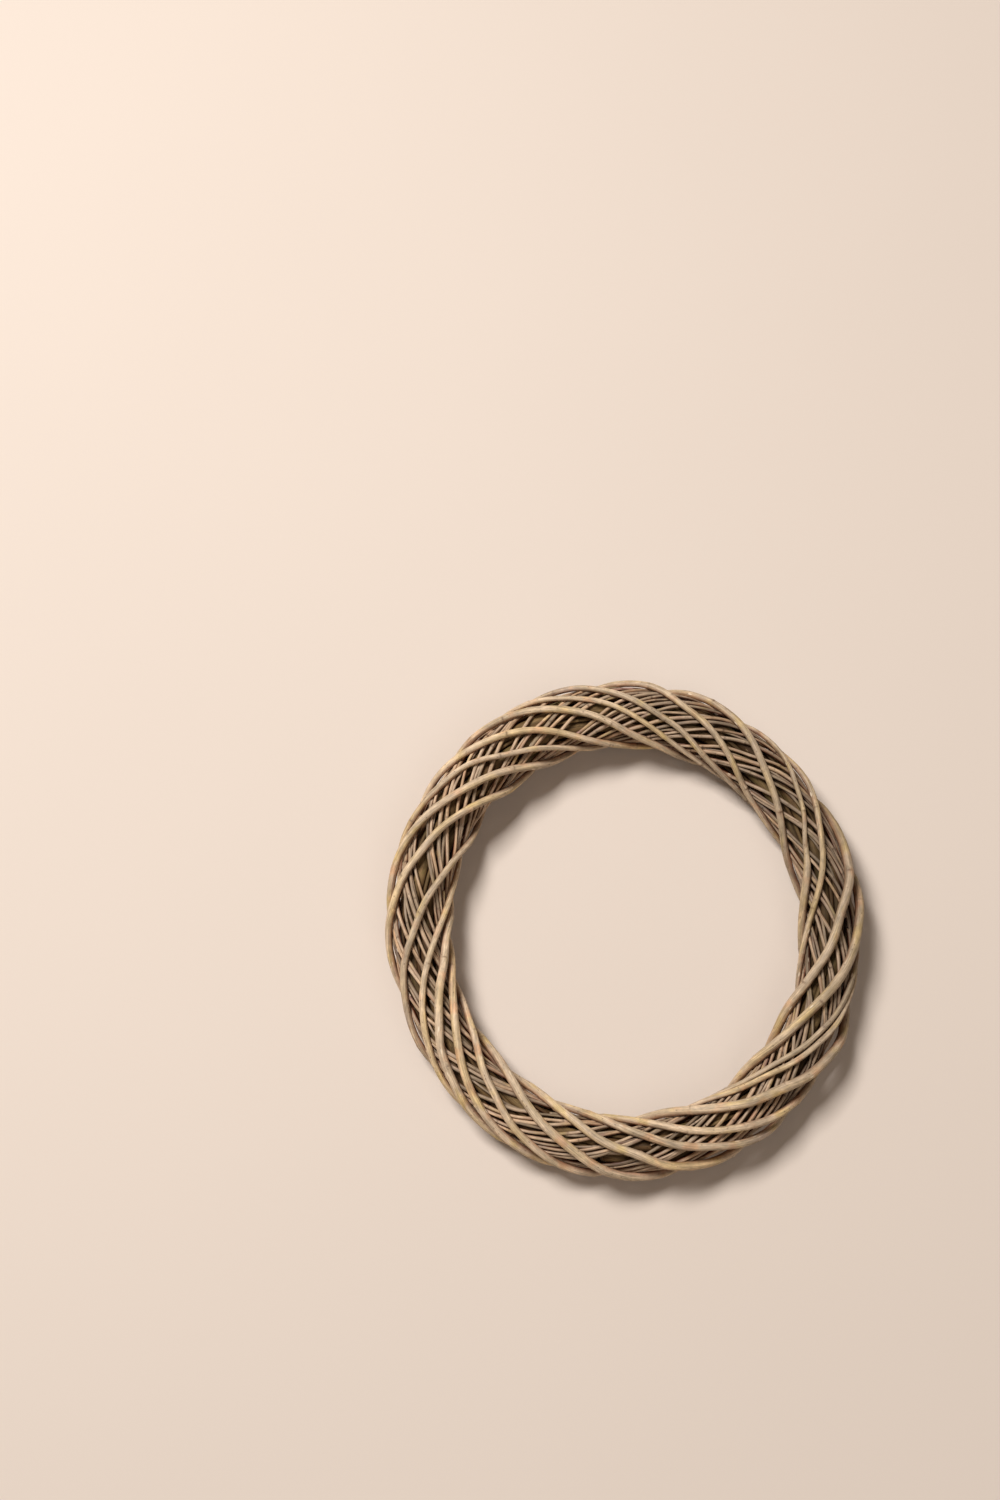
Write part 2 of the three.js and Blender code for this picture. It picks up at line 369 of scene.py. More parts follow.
def scar_closeness(along, angle, scars, radius):
    """How much each point belongs to a scar: to its shelf, its dark rim and the knuckle round the rod."""
    shelf = np.zeros(np.broadcast_shapes(along.shape, angle.shape))
    rim = np.zeros_like(shelf)
    knuckle = np.zeros_like(along)
    for place, turn, size in scars:
        near = np.abs(along[:, 0] - place) < SCAR_REACH
        beyond = along[near] - place
        arc = (np.mod(angle - turn + np.pi, 2 * np.pi) - np.pi) * radius[near]
        slope = np.exp(-(beyond / np.where(beyond < 0, SCAR_RISE, SCAR_DROP)) ** 2)
        shelf[near] += size * slope * np.exp(-(arc / SCAR_WIDTH) ** 2)
        rim[near] += size * np.exp(-((beyond - RIM_PLACE) / RIM_LENGTH) ** 2 - (arc / SCAR_WIDTH) ** 2)
        knuckle[near] += size * np.exp(-(beyond / KNUCKLE_LENGTH) ** 2)
    return np.clip(shelf, 0, 1), np.clip(rim, 0, 1), knuckle


print("a scar rises over", SCAR_RISE / MM, "mm and drops over", SCAR_DROP / MM, "mm")

# %% [markdown]
# Rolling a rod
# A rod could be a curve with a round bevel, but then every section would be a perfect circle. Instead we
# roll a sheet: a grid as long as the rod, whose width is wrapped round it until both long edges meet.
# A section is uneven by a few waves round it, which drift slowly round the rod from ring to ring.
# Two things are stored on every point for the materials: straight, which is where the point would be on
# a straight rod, and marks, which is how near a scar it is, how far it faces out, and the rod's tone.

# %% Roll a sheet into a rod
SECTION_WAVES = (2, 3, 4, 5)
DRIFT_SIZE = 1.6
DRIFT_LENGTHS = (90 * MM, 400 * MM)
MAP_NAME = "OFBake"


def rolled_sheet(name, rings, sides):
    """A flat sheet of rings by sides faces, with the place on it as UV."""
    shape = bmesh.new()
    shape.loops.layers.uv.new(MAP_NAME)
    bmesh.ops.create_grid(shape, x_segments=rings - 1, y_segments=sides, size=0.5, calc_uvs=True)
    mesh = bpy.data.meshes.new(name)
    shape.to_mesh(mesh)
    shape.free()
    return mesh


def uneven_section(along, angle, amount, rng):
    """How much wider or narrower the bark is at each point than a perfect cylinder."""
    uneven = np.zeros(np.broadcast_shapes(along.shape, angle.shape))
    for waves in SECTION_WAVES:
        drift = sway(along, DRIFT_SIZE, *DRIFT_LENGTHS, rng)
        uneven += np.cos(waves * angle + drift + rng.uniform(0, 2 * np.pi)) / waves
    return amount * uneven


def store(mesh, name, values):
    layer = mesh.attributes.new(name, "FLOAT_VECTOR", "POINT")
    layer.data.foreach_set("vector", np.ascontiguousarray(values, np.float32).ravel())


print("sections have waves of", SECTION_WAVES, "round the rod")

# %% [markdown]
# A map for pictures
# Our materials need no UV map. But when the wreath is handed on as a model file, its colours are painted
# into one picture for each rod, and a map says where on the picture each face lies. Blender can draw a map
# by itself, but it would cut a long winding rod into hundreds of scraps. We fold it like a ruler: the sheet
# is cut into equal stretches, which lie on the picture as rows, one above the other. There are as many
# rows as make them fill a square. The cut ends are two small discs above the rows.

# %% Fold the map
ROW_FILL = 0.94
ROWS_HEIGHT = 0.95
DISC_PLACES = ((0.03, 0.975), (0.08, 0.975))
DISC_RADIUS = 0.018


def fold_map(mesh, along, girth):
    """Lays the faces of the sheet on the map, stretch by stretch."""
    layer = mesh.uv_layers[MAP_NAME].uv
    sheet = np.empty(2 * len(mesh.loops), np.float32)
    layer.foreach_get("vector", sheet)
    corners = sheet.reshape(-1, 4, 2)
    distance = along[np.rint(corners[..., 0] * (len(along) - 1)).astype(int)]
    rows = max(1, round(math.sqrt(along[-1] / girth)))
    stretch = along[-1] / rows
    row = np.clip(distance.mean(axis=1, keepdims=True) // stretch, 0, rows - 1)
    across = (distance / stretch - row - 0.5) * ROW_FILL + 0.5
    upward = (row + 0.5 + (corners[..., 1] - 0.5) * ROW_FILL) / rows * ROWS_HEIGHT
    layer.foreach_set("vector", np.stack([across, upward], -1).astype(np.float32).ravel())


def map_disc(face, layer, place):
    """Lays a round face on the map as a small disc."""
    for number, corner in enumerate(face.loops):
        turn = 2 * math.pi * number / len(face.loops)
        corner[layer].uv = (place[0] + DISC_RADIUS * math.cos(turn),
                            place[1] + DISC_RADIUS * math.sin(turn))


print("map:", MAP_NAME)

# %% [markdown]
# From sheet to finished mesh
# Now the sheet is rolled: every ring of points is laid round the middle of the rod, as wide as the bark
# is there. Both ends are cut aslant, as a knife or secateurs leaves them, so the rings near an end lean.
# Where a rod touches the ground its points stop at the ground, which presses a small flat. Every rod takes
# its bark from another place in the first 20 metres of an endless pattern, so no two look alike. Then the
# long seam is merged, both holes are filled, and an inset leaves a thin ring of bark round the pale wood.

# %% Roll, merge and cap
CUT_LENGTH = 14 * MM
BUTT_SLANTS = (0.5, 0.9)
TIP_SLANTS = (0.3, 0.6)
KNUCKLE_HEIGHT = 0.06
PATTERN_METRES = 20
BARK_THICKNESS = 0.35 * MM
MERGE_DISTANCE = 0.01 * MM


def cut_slant(along, total, rng):
    """How far each ring leans along the rod for each unit of its width."""
    butt, tip = rng.uniform(*BUTT_SLANTS), rng.uniform(*TIP_SLANTS)
    near_butt = np.clip(1 - along / CUT_LENGTH, 0, 1) ** 2
    near_tip = np.clip(1 - (total - along) / CUT_LENGTH, 0, 1) ** 2
    return butt * near_butt - tip * near_tip


def roll(line, along, total, scars, habit, rng):
    """Where each point of the sheet goes, with its two stored values."""
    middle, radius, away, across = line
    sides = habit["sides"]
    angle = 2 * np.pi * np.arange(sides + 1)[None, :] / sides
    shelf, rim, knuckle = scar_closeness(along[:, None], angle, scars, radius[:, None])
    uneven = uneven_section(along[:, None], angle, habit["uneven"], rng)
    width = radius[:, None] * (1 + uneven + habit["scar_height"] * shelf + KNUCKLE_HEIGHT * knuckle)
    lean = cut_slant(along, total, rng)[:, None] * width * np.cos(angle)
    tangent = unit(np.gradient(middle, along, axis=0))
    points = middle[:, None] + lean[..., None] * tangent[:, None]
    points += (width * np.cos(angle))[..., None] * away[:, None]
    points += (width * np.sin(angle))[..., None] * across[:, None]
    points[..., 2] = np.maximum(points[..., 2], 0)
    straight = np.stack([width * np.cos(angle), width * np.sin(angle), along[:, None] + lean], -1)
    facing = 0.5 + 0.5 * np.cos(angle) + 0 * along[:, None]
    marks = np.stack([rim, facing, np.full_like(facing, rng.uniform())], -1)
    straight[..., 2] += PATTERN_METRES * rng.uniform()
    return points, straight, marks


def lay_out(mesh, rings, sides, points, straight, marks):
    """Gives every point of the sheet its place and values."""
    flat = np.empty(3 * len(mesh.vertices), np.float32)
    mesh.vertices.foreach_get("co", flat)
    flat = flat.reshape(-1, 3)
    ring = np.rint((flat[:, 0] + 0.5) * (rings - 1)).astype(int)
    side = np.rint((flat[:, 1] + 0.5) * sides).astype(int)
    mesh.vertices.foreach_set("co", points[ring, side].astype(np.float32).ravel())
    store(mesh, "straight", straight[ring, side])
    store(mesh, "marks", marks[ring, side])


def close_ends(mesh):
    """Merges the long seam and puts cut wood in both ends."""
    shape = bmesh.new()
    shape.from_mesh(mesh)
    bmesh.ops.remove_doubles(shape, verts=shape.verts, dist=MERGE_DISTANCE)
    for face in shape.faces:
        face.smooth = True
    open_edges = [edge for edge in shape.edges if edge.is_boundary]
    caps = bmesh.ops.holes_fill(shape, edges=open_edges, sides=0)["faces"]
    for face, place in zip(caps, DISC_PLACES):
        map_disc(face, shape.loops.layers.uv[MAP_NAME], place)
    bmesh.ops.inset_individual(shape, faces=caps, thickness=BARK_THICKNESS, use_even_offset=True,
                               use_interpolate=True)
    for face in caps:
        face.material_index = 1
        face.smooth = False
    bmesh.ops.recalc_face_normals(shape, faces=shape.faces)
    shape.to_mesh(mesh)
    shape.free()


print("bark left round a cut:", BARK_THICKNESS / MM, "mm")

# %% [markdown]
# One function for every rod
# All rods of the wreath are made by the same steps, and only their habit differs: how many faces they
# have round them, how far apart their rings and scars are, and how uneven they are. A habit may also have
# a rule for the rod's tone, which is otherwise one random number. The seed decides everything random, so
# the same rod comes out each time. Faces are spent where they show: most on the light wraps, fewer on the
# weavers and fewest on the thin twigs.

# %% Make a rod
made = []


def make_rod(name, route, habit, materials, seed):
    rng = np.random.default_rng(seed)
    t, distance = measured(route)
    total = distance[-1]
    scars = leaf_scars(total, habit["scar_spacing"], rng)
    along = ring_places(total, habit["step"], scars)
    line = rod_line(route, along, total, t, distance, habit, rng)
    mesh = rolled_sheet(name, len(along), habit["sides"])
    points, straight, marks = roll(line, along, total, scars, habit, rng)
    if "tone" in habit:
        u, v, _, _ = route(np.interp(along, distance, t))
        marks[..., 2] = habit["tone"](u, v, marks[..., 2])
    lay_out(mesh, len(along), habit["sides"], points, straight, marks)
    fold_map(mesh, along, 2 * math.pi * float(line[1].mean()))
    close_ends(mesh)
    for material in materials:
        mesh.materials.append(material)
    piece = bpy.data.objects.new(name, mesh)
    bpy.context.collection.objects.link(piece)
    made.append(piece)
    return piece


def triangles(pieces):
    return sum(len(face.vertices) - 2 for piece in pieces for face in piece.data.polygons)


print("rods made so far:", len(made))

# %% [markdown]
# Nodes for bark
# A pattern on bark is noise, squeezed along the rod so that it becomes patches, streaks or fibres. It is
# drawn on the straightened rod that every piece carries, so it follows each bend. Besides noise a bark
# needs only a few small steps: scaling places, stretching a range of values, and sums and products. Each
# gets a helper that adds the node and returns its output. Screen colours are turned into linear ones
# first, by the curve of the usual screen standard, because a shader counts light.

# %% Helpers for bark
def colour(red, green, blue):
    """A colour given as on a screen, turned into the linear one that a shader wants."""
    parts = [c / 255 for c in (red, green, blue)]
    return tuple(c / 12.92 if c <= 0.04045 else ((c + 0.055) / 1.055) ** 2.4 for c in parts) + (1,)


def scaled(material, places, grains):
    """The places of a pattern, scaled so that it gets so many grains a metre each way."""
    return add_node(material, "ShaderNodeMapping", {"Vector": places, "Scale": grains}).outputs["Vector"]


def bark_pattern(material, straight, round_grains, long_grains, **settings):
    """Noise with so many grains a metre round the rod and along it. Returns its value."""
    places = scaled(material, straight, (round_grains, round_grains, long_grains))
    values = {"Vector": places, "Scale": 1.0, "Detail": 3.0, "Roughness": 0.6, **settings}
    return add_node(material, "ShaderNodeTexNoise", values).outputs["Fac"]


def spread(material, value, low, high, to_low=0.0, to_high=1.0):
    """Stretches the part of a value between low and high over a new range."""
    node = add_node(material, "ShaderNodeMapRange", {
        "Value": value, "From Min": low, "From Max": high, "To Min": to_low, "To Max": to_high})
    return node.outputs["Result"]


def maths(material, operation, first, second=0):
    node = add_node(material, "ShaderNodeMath", {0: first, 1: second}, operation=operation)
    return node.outputs["Value"]


print("a mid grey of 128 is", round(colour(128, 128, 128)[0], 3), "in linear light")

# %% [markdown]
# The colour of bark
# Dried willow bark is never one colour. Stretches as long as a finger turn from grey tan to straw, and
# here and there lies a soft patch that is pinkish orange or yellow. A slow noise picks a shade from a
# palette, and two quicker ones lay the patches on top. The rod's own tone shifts the pick a little, so
# two rods side by side differ.

# %% Colour the bark
STRETCH_WIDTH_GRAINS = 45
STRETCH_PART = 1.5
TONE_PART = 0.35
PICK_RANGE = (0.45, 1.35)
BLUSH_GRAINS = (62, 48)
STRAW_GRAINS = (81, 37)
PATCH_EDGE = (0.56, 0.7)
BLUSH_STRENGTH = 0.55
STRAW_STRENGTH = 0.7


def palette_colour(material, straight, tone, palette, stretch_length):
    """Picks a shade for each stretch of the rod."""
    stretches = bark_pattern(material, straight, STRETCH_WIDTH_GRAINS, 1 / stretch_length, Detail=2.0)
    pick = maths(material, "ADD", maths(material, "MULTIPLY", stretches, STRETCH_PART),
                 maths(material, "MULTIPLY", tone, TONE_PART))
    ramp = add_node(material, "ShaderNodeValToRGB", {"Fac": spread(material, pick, *PICK_RANGE)})
    stops = ramp.color_ramp.elements
    for index, shade in enumerate(palette):
        spot = index / (len(palette) - 1)
        stop = stops[index] if index < len(stops) else stops.new(spot)
        stop.position = spot
        stop.color = shade
    ramp.color_ramp.interpolation = "B_SPLINE"
    return ramp.outputs["Color"]


def patches(material, straight, base, grains, shade, strength):
    """Lays soft patches of another shade on the bark."""
    patch = bark_pattern(material, straight, *grains, Detail=1.5)
    return blend(material, spread(material, patch, *PATCH_EDGE, 0, strength), base, shade)


print("patches are about", round(1 / BLUSH_GRAINS[1] / MM), "mm long")

# %% [markdown]
# Light and dark in bark
# Four patterns make the bark lighter and darker: clouds as large as a coin, a mottling of a few
# millimetres, streaks that run along the rod, and its fine fibres. Each is one noise with its own number
# of grains, and says how dark and how bright it makes the bark. All are multiplied, with the rod's tone
# and with a slow change over the whole wreath that makes its right side darker than its left.

# %% Shade the bark
CLOUDS = {"grains": (130, 60), "range": (0.8, 1.14)}
MOTTLING = {"grains": (300, 130), "range": (0.84, 1.12)}
STREAKS = {"grains": (900, 28), "range": (0.64, 1.22)}
FIBRES = {"grains": (3000, 160), "range": (0.82, 1.12)}
NOISE_RANGE = (0.33, 0.67)
# The bark is darker towards this side of the wreath, between these distances and by this range.
DARKER_SIDE = (1.0, 0.25, 0)
DARKENING_FROM = 40 * MM
DARKENING_TO = 220 * MM
DARKENING_RANGE = (1.0, 0.67)


def right_side_darkening(material):
    """How much darker the bark is, from where it is on the wreath: darker towards the right."""
    place = add_node(material, "ShaderNodeTexCoord").outputs["Object"]
    side = add_node(material, "ShaderNodeVectorMath", {0: place, 1: DARKER_SIDE}, operation="DOT_PRODUCT")
    return spread(material, side.outputs["Value"], DARKENING_FROM, DARKENING_TO, *DARKENING_RANGE)


def brightness(material, noises, tone, tones):
    """Multiplies all that makes the bark lighter or darker."""
    light = maths(material, "MULTIPLY", right_side_darkening(material), spread(material, tone, 0, 1, *tones))
    for noise, pattern in noises:
        light = maths(material, "MULTIPLY", light,
                      spread(material, noise, *NOISE_RANGE, *pattern["range"]))
    return light


print("fibres:", FIBRES["grains"][0] * MM, "to a millimetre round the rod")

# %% [markdown]
# Specks and nicks
# Small dark pores sit on willow bark, about one to a square centimetre. Pale nicks are rarer and longer:
# there the bark was chipped as the rods were pushed through, and the wood shows. Voronoi cells are made
# for both. Each cell has one middle, and the distance to it draws a dot, which cells longer than wide
# stretch along the rod. Every cell also has a random colour, and its red decides whether the cell gets a
# dot at all.

# %% Dot the bark
SPECKS = {"grains": (300, 300, 180), "edge": (0.24, 0.1), "chance": (0.5, 0.65)}
NICKS = {"grains": (210, 210, 60), "edge": (0.2, 0.12), "chance": (0.8, 0.86)}


def dots(material, straight, kind):
    """One dot in each of some cells. Returns 1 on a dot and 0 beside it."""
    spots = scaled(material, straight, kind["grains"])
    cells = add_node(material, "ShaderNodeTexVoronoi", {"Vector": spots, "Scale": 1.0})
    chosen = add_node(material, "ShaderNodeSeparateColor", {"Color": cells.outputs["Color"]})
    return maths(material, "MULTIPLY", spread(material, cells.outputs["Distance"], *kind["edge"]),
                 spread(material, chosen.outputs["Red"], *kind["chance"]))


for title, kind in (("speck", SPECKS), ("nick", NICKS)):
    print("a", title, "cell is", [round(1 / grains / MM, 1) for grains in kind["grains"]], "mm")

# %% [markdown]
# A whole bark
# Now the parts are put together. The shaded colour is darkened to a warm brown on the sides of a rod
# that face into the bundle: this is painted shade, as the neighbouring rods would cast it there. Then
# come the specks, the nicks and the dark rims of the leaf scars. Streaks are a little rougher than the
# smooth bark between them. The bump gets only the finest relief, because scars, knuckles and uneven
# sections are already real geometry.

# %% Put a bark together
# The warm brown of the painted shade on the sides of rods that face into the bundle.
PAINTED_SHADE_TINT = colour(150, 82, 38)
SPECK_STRENGTH = 0.6
NICK_STRENGTH = 0.75
SCAR_STRENGTH = 0.8
ROUGHNESS_RANGE = (0.5, 0.72)
BUMP_SHARES = {"streaks": 0.7, "fibres": 0.3, "specks": -0.15}
BUMP_STRENGTH = 0.8


def stored(material, name):
    return add_node(material, "ShaderNodeAttribute", attribute_name=name).outputs["Vector"]


def bark_colour(material, finish, straight, marks, noises, speck, nick):
    scar, facing, tone = (marks[axis] for axis in "XYZ")
    base = palette_colour(material, straight, tone, finish["palette"], finish["stretch"])
    base = patches(material, straight, base, BLUSH_GRAINS, finish["blush"], BLUSH_STRENGTH)
    base = patches(material, straight, base, STRAW_GRAINS, finish["straw"], STRAW_STRENGTH)
    light = brightness(material, noises, tone, finish["tones"])
    grey = add_node(material, "ShaderNodeCombineColor", {"Red": light, "Green": light, "Blue": light})
    base = blend(material, 1.0, base, grey.outputs["Color"], "MULTIPLY")
    painted_shade_colour = blend(material, 1.0, base, PAINTED_SHADE_TINT, "MULTIPLY")
    # Painted shade: the sides of a rod that face into the bundle darken towards the warm brown.
    starts, ends, most = finish["sides"]
    base = blend(material, spread(material, facing, starts, ends, 0, most), base, painted_shade_colour)
    base = blend(material, maths(material, "MULTIPLY", speck, SPECK_STRENGTH), base, finish["speck"])
    base = blend(material, maths(material, "MULTIPLY", nick, NICK_STRENGTH), base, finish["nick"])
    return blend(material, maths(material, "MULTIPLY", scar, SCAR_STRENGTH), base, finish["scar"])


def bark(name, finish):
    material, shader = new_material(name)
    straight = stored(material, "straight")
    marks = add_node(material, "ShaderNodeSeparateXYZ", {"Vector": stored(material, "marks")}).outputs
    noises = [(bark_pattern(material, straight, *pattern["grains"]), pattern)
              for pattern in (STREAKS, FIBRES, CLOUDS, MOTTLING)]
    streaks, fibres = noises[0][0], noises[1][0]
    speck, nick = dots(material, straight, SPECKS), dots(material, straight, NICKS)
    join(material, bark_colour(material, finish, straight, marks, noises, speck, nick),
         shader.inputs["Base Color"])
    rough = spread(material, streaks, *NOISE_RANGE, *ROUGHNESS_RANGE)
    join(material, rough, shader.inputs["Roughness"])
    shader.inputs["Specular IOR Level"].default_value = finish["shine"]

    height = maths(material, "MULTIPLY", streaks, BUMP_SHARES["streaks"])
    for part, share in ((fibres, BUMP_SHARES["fibres"]), (speck, BUMP_SHARES["specks"])):
        height = maths(material, "ADD", height, maths(material, "MULTIPLY", part, share))
    relief = add_node(material, "ShaderNodeBump", {
        "Height": height, "Strength": BUMP_STRENGTH, "Distance": finish["bump"]})
    join(material, relief.outputs["Normal"], shader.inputs["Normal"])
    return material


print("bark roughness:", ROUGHNESS_RANGE)

# %% [markdown]
# Three barks
# The wraps are the youngest rods: light tan, smooth, and open to the light. The weavers turn from a
# purplish brown to olive grey and tan, and differ more from each other. The core is dark brown where the
# strands cover it, which is painted shade, and a paler olive grey at the windows, which is painted light.
# Each bark is a palette with the sizes and shades that go with it. Tones are the darkest and the brightest
# rod. Sides say at which facing the painted shade on a rod's sides starts, at which it is darkest, and how
# far it goes. Shine is how much light the bark mirrors, and is least on the dusty core.

# %% Mix the three barks
wrap_bark = bark("wrap_bark", {
    "palette": [colour(180, 157, 146), colour(204, 180, 140), colour(220, 194, 170),
                colour(215, 187, 132), colour(208, 172, 148)],
    "stretch": 90 * MM, "blush": colour(218, 164, 120), "straw": colour(218, 188, 126),
    "scar": colour(96, 66, 46), "speck": colour(92, 64, 48), "nick": colour(238, 220, 194),
    "tones": (0.92, 1.08), "sides": (0.7, 0.05, 0.8), "shine": 0.45, "bump": 0.45 * MM})
weaver_bark = bark("weaver_bark", {
    "palette": [colour(138, 106, 98), colour(160, 138, 104), colour(208, 182, 158),
                colour(190, 154, 110), colour(146, 116, 114)],
    "stretch": 70 * MM, "blush": colour(168, 122, 98), "straw": colour(192, 166, 112),
    "scar": colour(60, 40, 28), "speck": colour(56, 38, 28), "nick": colour(226, 206, 180),
    "tones": (0.64, 1.22), "sides": (0.85, 0.28, 1.0), "shine": 0.4, "bump": 0.35 * MM})
core_bark = bark("core_bark", {
    "palette": [colour(112, 76, 48), colour(126, 96, 62), colour(142, 116, 78),
                colour(132, 108, 72)],
    "stretch": 120 * MM, "blush": colour(114, 76, 52), "straw": colour(124, 108, 66),
    "scar": colour(40, 26, 18), "speck": colour(38, 26, 20), "nick": colour(150, 128, 100),
    "tones": (0.46, 1.04), "sides": (0.85, 0.35, 1.0), "shine": 0.12, "bump": 0.4 * MM})
print("barks:", wrap_bark.name, weaver_bark.name, core_bark.name)

# %% [markdown]
# Cut wood
# The ends of the rods were cut while the willow was fresh, so the wood there is a little paler than the
# dark depths round it. It has faint rings round a small dark pith. The straightened rod, scaled to nothing
# along its length, gives the distance from the rod's middle, and waves in that distance make the rings.

# %% Mix the cut wood
RING_WAVES = 6500
RING_WOBBLE = 3
WOOD_GRAINS = 900
WOOD_COLOURS = (colour(140, 118, 92), colour(166, 144, 116))
WOOD_ROUGHNESS = 0.85
PITH_COLOUR = colour(92, 66, 46)
PITH_EDGE = (0.7 * MM, 0.4 * MM)
ACROSS_ONLY = (1, 1, 0)

cut_wood, shader = new_material("cut_wood")
straight = stored(cut_wood, "straight")
off_middle = add_node(cut_wood, "ShaderNodeVectorMath", {0: scaled(cut_wood, straight, ACROSS_ONLY)},
                      operation="LENGTH").outputs["Value"]
wobble = maths(cut_wood, "MULTIPLY",
               bark_pattern(cut_wood, straight, WOOD_GRAINS, WOOD_GRAINS), RING_WOBBLE)
waves = maths(cut_wood, "ADD", maths(cut_wood, "MULTIPLY", off_middle, RING_WAVES), wobble)
rings = spread(cut_wood, maths(cut_wood, "SINE", waves), -1, 1)
wood = blend(cut_wood, rings, *WOOD_COLOURS)
wood = blend(cut_wood, spread(cut_wood, off_middle, *PITH_EDGE), wood, PITH_COLOUR)
join(cut_wood, wood, shader.inputs["Base Color"])
shader.inputs["Roughness"].default_value = WOOD_ROUGHNESS
shader.inputs["Specular IOR Level"].default_value = DULL_SHINE
print("year rings:", round(2 * math.pi / RING_WAVES / MM, 2), "mm apart")

# %% [markdown]
# Windows
# At some places the strands part, as two rods do when a thumb is pushed between them, and show the core.
# These windows are listed as they are on this wreath, each by its u and v. They come before the core,
# because its colour is painted by them: paler at a window, which is painted light, and dark elsewhere,
# which is painted shade under the strands. At the upper left all that lies in the gaps is painted paler,
# as light. Every point of a rod has a tone for its material, and for the core the painted light in the
# gaps and the nearness of a window set it.

# %% List the windows
WINDOWS = (
    (49, -39), (58.5, -3), (66, -27), (74, 38), (98, 0), (109, -22), (118, 3), (153.5, -13),
    (166, -18), (184, 33), (196, -15), (212, -26), (225, 28), (241, 26), (283, 10), (312, -27),
    (337, 18), (347, -16), (357, 5))
WINDOW_GLOW = (6.5, 28)
# Painted light in the gaps: where it is most, how fast it fades round the ring, and how much each kind of
# rod gets.
GAP_LIGHT_PLACE = 328
GAP_LIGHT_FADE = 6
GAP_LIGHT_ON_CORE = 0.7
GAP_LIGHT_ON_TWIGS = 0.5
GAP_LIGHT_ON_WEAVERS = 0.25


def painted_gap_light(u, most):
    """Painted light in the gaps, from most at the upper left to none on the other side."""
    return most * np.maximum(0, cosine(u - GAP_LIGHT_PLACE)) ** GAP_LIGHT_FADE


def painted_core_light(u, v, tone):
    """Painted light and shade on the core: 0 under the strands, 1 at a window's middle, never below the gap
    light.
    """
    nearest = painted_gap_light(u, GAP_LIGHT_ON_CORE)
    for place, side in WINDOWS:
        far = (wrapped(u - place) / WINDOW_GLOW[0]) ** 2 + (wrapped(v - side) / WINDOW_GLOW[1]) ** 2
        nearest = np.maximum(nearest, np.exp(-far))
    return nearest[:, None] + 0 * tone


print(len(WINDOWS), "windows on the front")

# %% [markdown]
# The core
# Seven sticks run the long way round the ring: one in the middle and six about it, twisted round it once
# in a trip. They are as thick as a finger and smooth, and show only through gaps between the weavers. Six
# filler twigs lie in the valleys between them, because a wreath maker stuffs the core with whatever is at
# hand until it is full. The route of a stick repeats the one in the plain model.

# %% Lay the core sticks
WEAVER_BUTT = 2.2 * MM
WEAVER_TIP = 1.5 * MM
CORE_RING = 6
CORE_STAGGER = 47
CORE_END_GAP = 0.6
CORE_GAP = 0.7 * MM
CORE_CLEARANCE = 0.9 * MM
CORE_SEED = 100
# The core's tone is its painted light and shade from the windows and the gaps.
CORE_HABIT = {"sides": 16, "step": 3.6 * MM, "scar_spacing": 70 * MM, "scar_height": 0.1,
              "uneven": 0.03, "sway": 0.2 * MM, "lift": 0.1 * MM, "tone": painted_core_light}
FILLER_RADIUS = 1.9 * MM
FILLER_STAGGER = 101
FILLER_SEED = 130
# The filler twigs get the same painted light and shade.
FILLER_HABIT = {"sides": 10, "step": 3.6 * MM, "scar_spacing": 40 * MM, "scar_height": 0.18,
                "uneven": 0.04, "sway": 0.5 * MM, "lift": 0.1 * MM, "tone": painted_core_light}


def core_radius(u):
    return bundle_radius(u) - 2 * WEAVER_BUTT - SEAT_GAP


def stick_radius(u):
    """Half of the middle stick and the whole of one beside it fill the core's radius."""
    return (core_radius(u) - CORE_CLEARANCE - CORE_GAP) / 3


def core_route(index):
    def route(t):
        u = CORE_STAGGER * index + (FULL_TURN - CORE_END_GAP) * t
        radius = stick_radius(u)
        reach = 0 * radius if index == CORE_RING else 2 * radius + CORE_GAP
        return u, FULL_TURN / CORE_RING * index - u, reach, radius
    return route


def filler_route(index):
    def route(t):
        u = FILLER_STAGGER * index + (FULL_TURN - 2 * CORE_END_GAP) * t
        reach = core_radius(u) - FILLER_RADIUS - CORE_CLEARANCE
        return u, FULL_TURN / CORE_RING * (index + 0.5) - u, reach, FILLER_RADIUS + 0 * u
    return route


for index in range(CORE_RING + 1):
    stick = make_rod(f"dark_core_stick_{index + 1}", core_route(index), CORE_HABIT,
                     (core_bark, cut_wood), CORE_SEED + index)
    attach(stick, "root")
    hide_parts(f"core_stick_{index + 1}")
for index in range(CORE_RING):
    twig = make_rod(f"filler_twig_{index + 1}", filler_route(index), FILLER_HABIT,
                    (core_bark, cut_wood), FILLER_SEED + index)
    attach(twig, "root")
print("core:", len(made), "rods,", triangles(made), "triangles")

# %% [markdown]
# How the strands crowd
# Strands laid evenly would look like a machine's work. On a real wreath the wraps pull them about, so
# they crowd together in twos and threes with dark gaps beside them. Three slow waves push all the strands
# at once. Each has so many waves round the bundle and trips round the ring, a size and a phase in degrees.
# They run almost with the strands, so a strand drifts into a crowd and out of it over a hand's width. At a
# window the strands are pushed apart, most where they lie the window's width from its middle. A wrap that
# bows away from the outer edge leaves a gap under it, and at some bows the strands swell out with it. A
# bow is given by its clock degree, its height in millimetres and the share of it that strands follow.

# %% Let the strands crowd and swell
WEAVER_STRANDS = 18
WEAVER_TURNS = 67
CROWDS = ((9, 31, 3.0, 40), (4, 16, 4.0, 200), (13, 46, 0.9, 110))
WINDOW_LENGTH = 6.5
WINDOW_WIDTH = 11
WINDOW_PUSH = 8
BOWS = (
    (14, 1.6, 0.9), (86, 2.6, 0), (119, 3.0, 0), (149, 2.8, 0), (268, 2.6, 0.9), (287, 3.0, 0.2),
    (340, 1.2, 0.9))
BOW_WIDTH = 9


